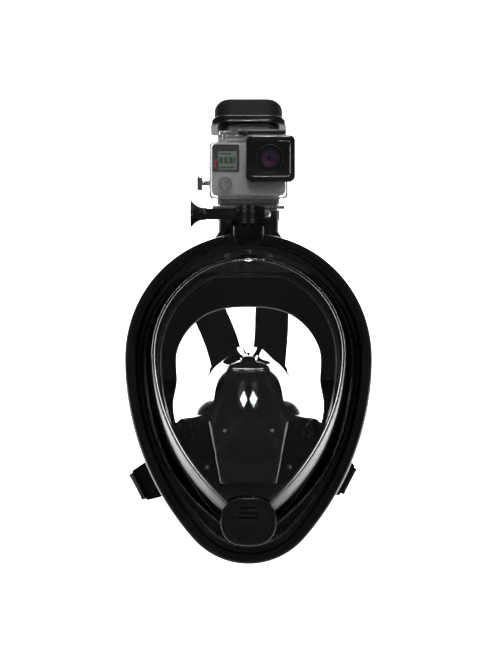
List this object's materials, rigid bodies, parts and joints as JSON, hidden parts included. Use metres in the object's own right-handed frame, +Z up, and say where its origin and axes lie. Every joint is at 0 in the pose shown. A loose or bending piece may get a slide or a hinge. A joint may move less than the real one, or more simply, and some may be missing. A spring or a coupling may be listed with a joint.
{
  "type": "full face snorkel mask",
  "caption": "Egg-shaped full face snorkel mask with domed visor, short dry-top snorkel, chin drain valve, head straps and a tilting action camera in a clear housing.",
  "frame": {"origin": "centre of the face seal: on the mask's widest line, at the middle of the forehead side of the seal", "axes": "+X to the right seen from the front, +Y from the visor towards the wearer's head, +Z up towards the snorkel's top"},
  "size_m": [0.2, 0.1928, 0.376],
  "materials": {
    "frame_black": "glossy black",
    "visor_clear": "clear, lightly smoked",
    "skirt_silicone": "satin black silicone",
    "pocket_silicone": "glossy black silicone",
    "valve_silicone": "pale translucent silicone",
    "valve_plastic": "satin",
    "steel": "bright",
    "tube_plastic": "satin dark grey",
    "collar_plastic": "glossy black",
    "housing_clear": "clear polycarbonate",
    "camera_grey": "fine satin grey",
    "black_plastic": "satin black",
    "window_glass": "coated glass",
    "lens_glass": "coated, purple-red",
    "screen": "dark screen behind clear cover",
    "strap_rubber": "matt black elastic",
    "pad_fabric": "soft padded",
    "float_foam": "closed-cell foam"
  },
  "bodies": {
    "mask": {"front_frame": "frame_black", "rear_frame": "frame_black", "frame_screws": "steel", "visor": "visor_clear", "face_skirt": "skirt_silicone", "nose_pocket": "pocket_silicone", "pocket_studs": "steel", "inhale_seat_right": "valve_plastic", "inhale_seat_left": "valve_plastic", "drain_body": "frame_black", "drain_cover": "black_plastic", "brow_plate": "valve_plastic", "brow_screws": "steel", "snorkel_socket": "frame_black", "tube_gasket": "valve_silicone", "snorkel_tube": "tube_plastic", "cap_collar": "collar_plastic", "dry_top_cap": "tube_plastic", "valve_seat": "valve_plastic", "camera_fork": "black_plastic", "captive_nut": "steel", "strap_anchor_right": "black_plastic", "strap_anchor_left": "black_plastic", "upper_strap_right": "strap_rubber", "upper_strap_left": "strap_rubber", "strap_pad": "pad_fabric", "clip_bracket_right": "black_plastic", "clip_bracket_left": "black_plastic", "clip_pin_right": "steel", "clip_pin_left": "steel", "lower_strap_right": "strap_rubber", "lower_strap_left": "strap_rubber"},
    "camera": {"housing_shell": "housing_clear", "housing_gasket": "valve_silicone", "lens_port_frame": "collar_plastic", "port_window": "window_glass", "camera_body": "camera_grey", "lens_barrel": "black_plastic", "lens_glass": "lens_glass", "camera_screen": "screen", "latch_ears": "black_plastic", "door_hinge_pin": "steel"},
    "door": {"back_door": "housing_clear"},
    "latch_lever": {"door_latch": "black_plastic"},
    "power_key": {"power_button": "steel"},
    "shutter_key": {"shutter_button": "steel"},
    "side_key": {"side_button": "steel"},
    "knob": {"thumb_screw": "black_plastic"},
    "drain_disc": {"drain_flap": "valve_silicone"},
    "inhale_disc_right": {"inhale_flap_right": "valve_silicone"},
    "inhale_disc_left": {"inhale_flap_left": "valve_silicone"},
    "socket_latch": {"tube_latch": "black_plastic"},
    "float": {"float_ring": "float_foam", "float_seal": "valve_silicone"},
    "exhale_leaf_left": {"exhale_flap_left": "valve_silicone"},
    "exhale_leaf_right": {"exhale_flap_right": "valve_silicone"},
    "clip_right": {"side_clip_right": "black_plastic"},
    "clip_left": {"side_clip_left": "black_plastic"},
    "slider_right": {"strap_slider_right": "black_plastic"},
    "slider_left": {"strap_slider_left": "black_plastic"}
  },
  "joints": [
    {"name": "camera_tilt", "type": "hinge", "parent": "mask", "child": "camera", "pos_m": [0, -0.056, 0.1155], "axis": [1, 0, 0], "range_deg": [-15, 60]},
    {"name": "door_swing", "type": "hinge", "parent": "camera", "child": "door", "pos_m": [0, -0.0412, 0.1212], "axis": [-1, 0, 0], "range_deg": [0, 30]},
    {"name": "latch_lift", "type": "hinge", "parent": "camera", "child": "latch_lever", "pos_m": [0.011, -0.058, 0.18], "axis": [1, 0, 0], "range_deg": [0, 45]},
    {"name": "power_press", "type": "slide", "parent": "camera", "child": "power_key", "axis": [0, 1, 0], "range_m": [0, 0.0015], "stiffness_N_per_m": 200},
    {"name": "shutter_press", "type": "slide", "parent": "camera", "child": "shutter_key", "axis": [0, 0, -1], "range_m": [0, 0.0015], "stiffness_N_per_m": 200},
    {"name": "side_press", "type": "slide", "parent": "camera", "child": "side_key", "axis": [1, 0, 0], "range_m": [0, 0.0015], "stiffness_N_per_m": 200},
    {"name": "knob_turn", "type": "hinge", "parent": "mask", "child": "knob", "pos_m": [-0.02, -0.056, 0.1155], "axis": [1, 0, 0], "continuous": true},
    {"name": "drain_lift", "type": "slide", "parent": "mask", "child": "drain_disc", "axis": [0, -1, 0], "range_m": [0, 0.0015], "stiffness_N_per_m": 40},
    {"name": "inhale_open_right", "type": "hinge", "parent": "mask", "child": "inhale_disc_right", "pos_m": [0.04877, -0.01787, -0.05707], "axis": [-0.2373, 0.1177, -0.9643], "range_deg": [0, 25], "stiffness_Nm_per_rad": 0.002},
    {"name": "inhale_open_left", "type": "hinge", "parent": "mask", "child": "inhale_disc_left", "pos_m": [-0.04877, -0.01787, -0.05707], "axis": [-0.2373, -0.1177, 0.9643], "range_deg": [0, 25], "stiffness_Nm_per_rad": 0.002},
    {"name": "socket_latch_press", "type": "hinge", "parent": "mask", "child": "socket_latch", "pos_m": [0, -0.00479, 0.09697], "axis": [-1, 0, 0], "range_deg": [0, 9], "stiffness_Nm_per_rad": 0.05},
    {"name": "float_rise", "type": "slide", "parent": "mask", "child": "float", "axis": [0, 0.4226, 0.9063], "range_m": [0, 0.003]},
    {"name": "exhale_open_left", "type": "hinge", "parent": "mask", "child": "exhale_leaf_left", "pos_m": [-0.0142, 0.03623, 0.18233], "axis": [1, 0, 0], "range_deg": [0, 25], "stiffness_Nm_per_rad": 0.002},
    {"name": "exhale_open_right", "type": "hinge", "parent": "mask", "child": "exhale_leaf_right", "pos_m": [0.0142, 0.03623, 0.18233], "axis": [1, 0, 0], "range_deg": [0, 25], "stiffness_Nm_per_rad": 0.002},
    {"name": "clip_swing_right", "type": "hinge", "parent": "mask", "child": "clip_right", "pos_m": [0.0737, -0.013, -0.0966], "axis": [-0.4552, 0, -0.8904], "range_deg": [-19.5, 17.5]},
    {"name": "clip_swing_left", "type": "hinge", "parent": "mask", "child": "clip_left", "pos_m": [-0.0737, -0.013, -0.0966], "axis": [-0.4552, 0, 0.8904], "range_deg": [-20, 12]},
    {"name": "strap_slider_right", "type": "slide", "parent": "mask", "child": "slider_right", "axis": [-0.5503, 0.6777, 0.4878], "range_m": [-0.012, 0.012]},
    {"name": "strap_slider_left", "type": "slide", "parent": "mask", "child": "slider_left", "axis": [0.59, 0.6386, 0.494], "range_m": [-0.012, 0.012]}
  ]
}
